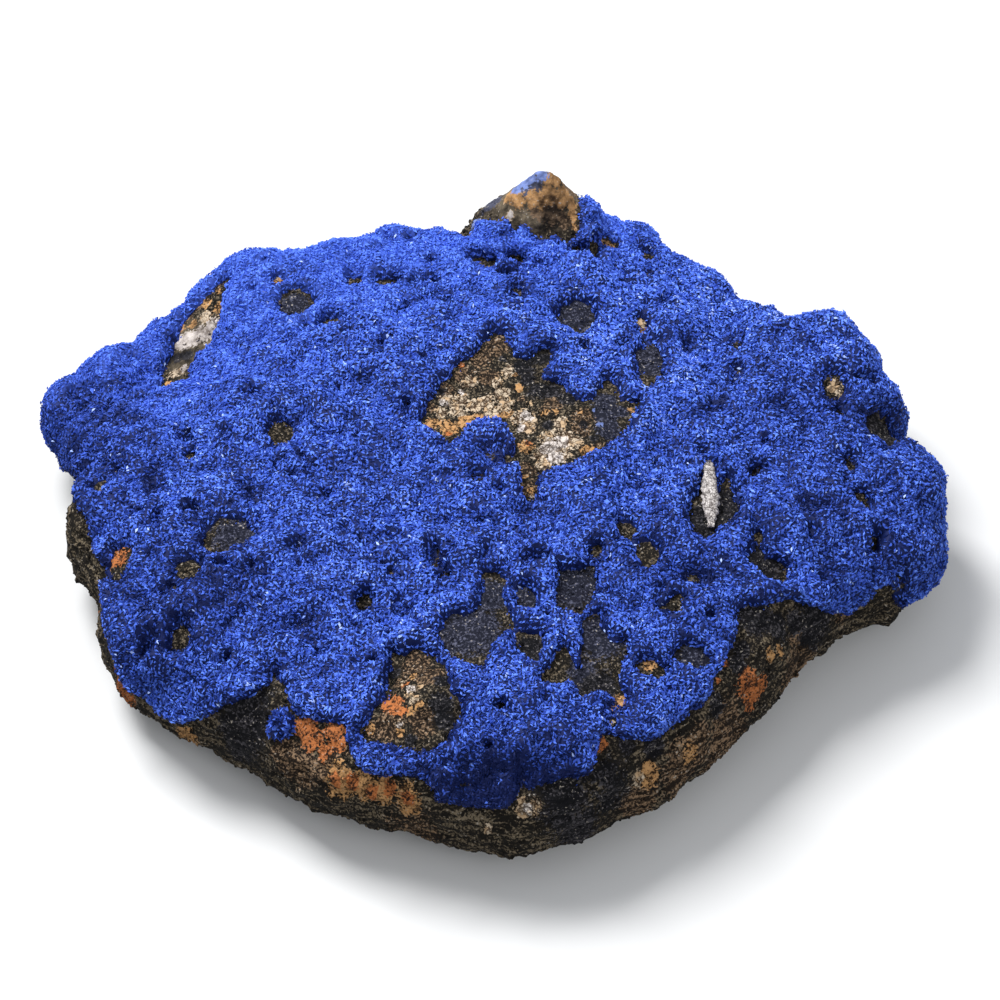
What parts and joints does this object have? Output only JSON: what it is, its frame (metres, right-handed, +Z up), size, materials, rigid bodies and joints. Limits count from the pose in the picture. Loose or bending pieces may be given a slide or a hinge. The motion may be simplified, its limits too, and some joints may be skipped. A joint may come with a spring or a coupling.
{
  "type": "azurite specimen",
  "caption": "Flat-footed slab of dark host rock, grown over on top by a pitted, velvety blue azurite crust.",
  "frame": {"origin": "middle of the flat underside, on the surface that the specimen rests on", "axes": "+X along the slab's length, +Z up through the blue crust, -Y towards the broken front edge"},
  "size_m": [0.0847, 0.0722, 0.0213],
  "materials": {
    "host_rock": "rough broken stone with rust and cream patches",
    "azurite": "velvety druse of tiny blue crystals",
    "pale_crystal": "cloudy pale crystal"
  },
  "bodies": {
    "root": {"matrix_rock": "host_rock", "azurite_crust": "azurite", "azurite_islet": "azurite", "white_sliver": "pale_crystal"}
  },
  "joints": []
}
